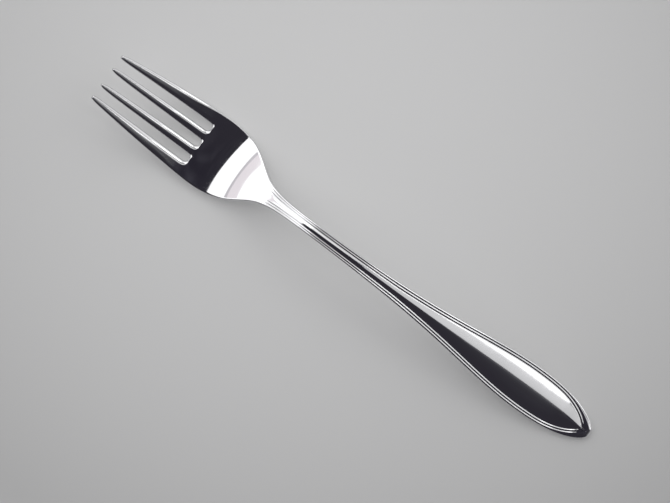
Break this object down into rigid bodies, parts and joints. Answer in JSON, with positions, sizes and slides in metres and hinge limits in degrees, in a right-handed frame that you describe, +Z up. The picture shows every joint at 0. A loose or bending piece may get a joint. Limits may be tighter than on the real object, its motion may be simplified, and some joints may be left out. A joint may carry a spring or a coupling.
{
  "type": "dinner fork",
  "caption": "Forged table fork with slender tines, a waisted neck and a long leaf-shaped handle with a threaded border, for eating from a plate.",
  "frame": {"origin": "on the table the fork lies on, under the middle of its length and width", "axes": "+X along the fork towards the tips of the tines, +Z up, the way the hollow of the head faces"},
  "size_m": [0.2052, 0.0264, 0.0188],
  "materials": {
    "polished_steel": "mirror-polished stainless steel with faint wiping marks"
  },
  "bodies": {
    "root": {"tine_1": "polished_steel", "tine_2": "polished_steel", "tine_3": "polished_steel", "tine_4": "polished_steel", "head": "polished_steel", "handle": "polished_steel"}
  },
  "joints": []
}
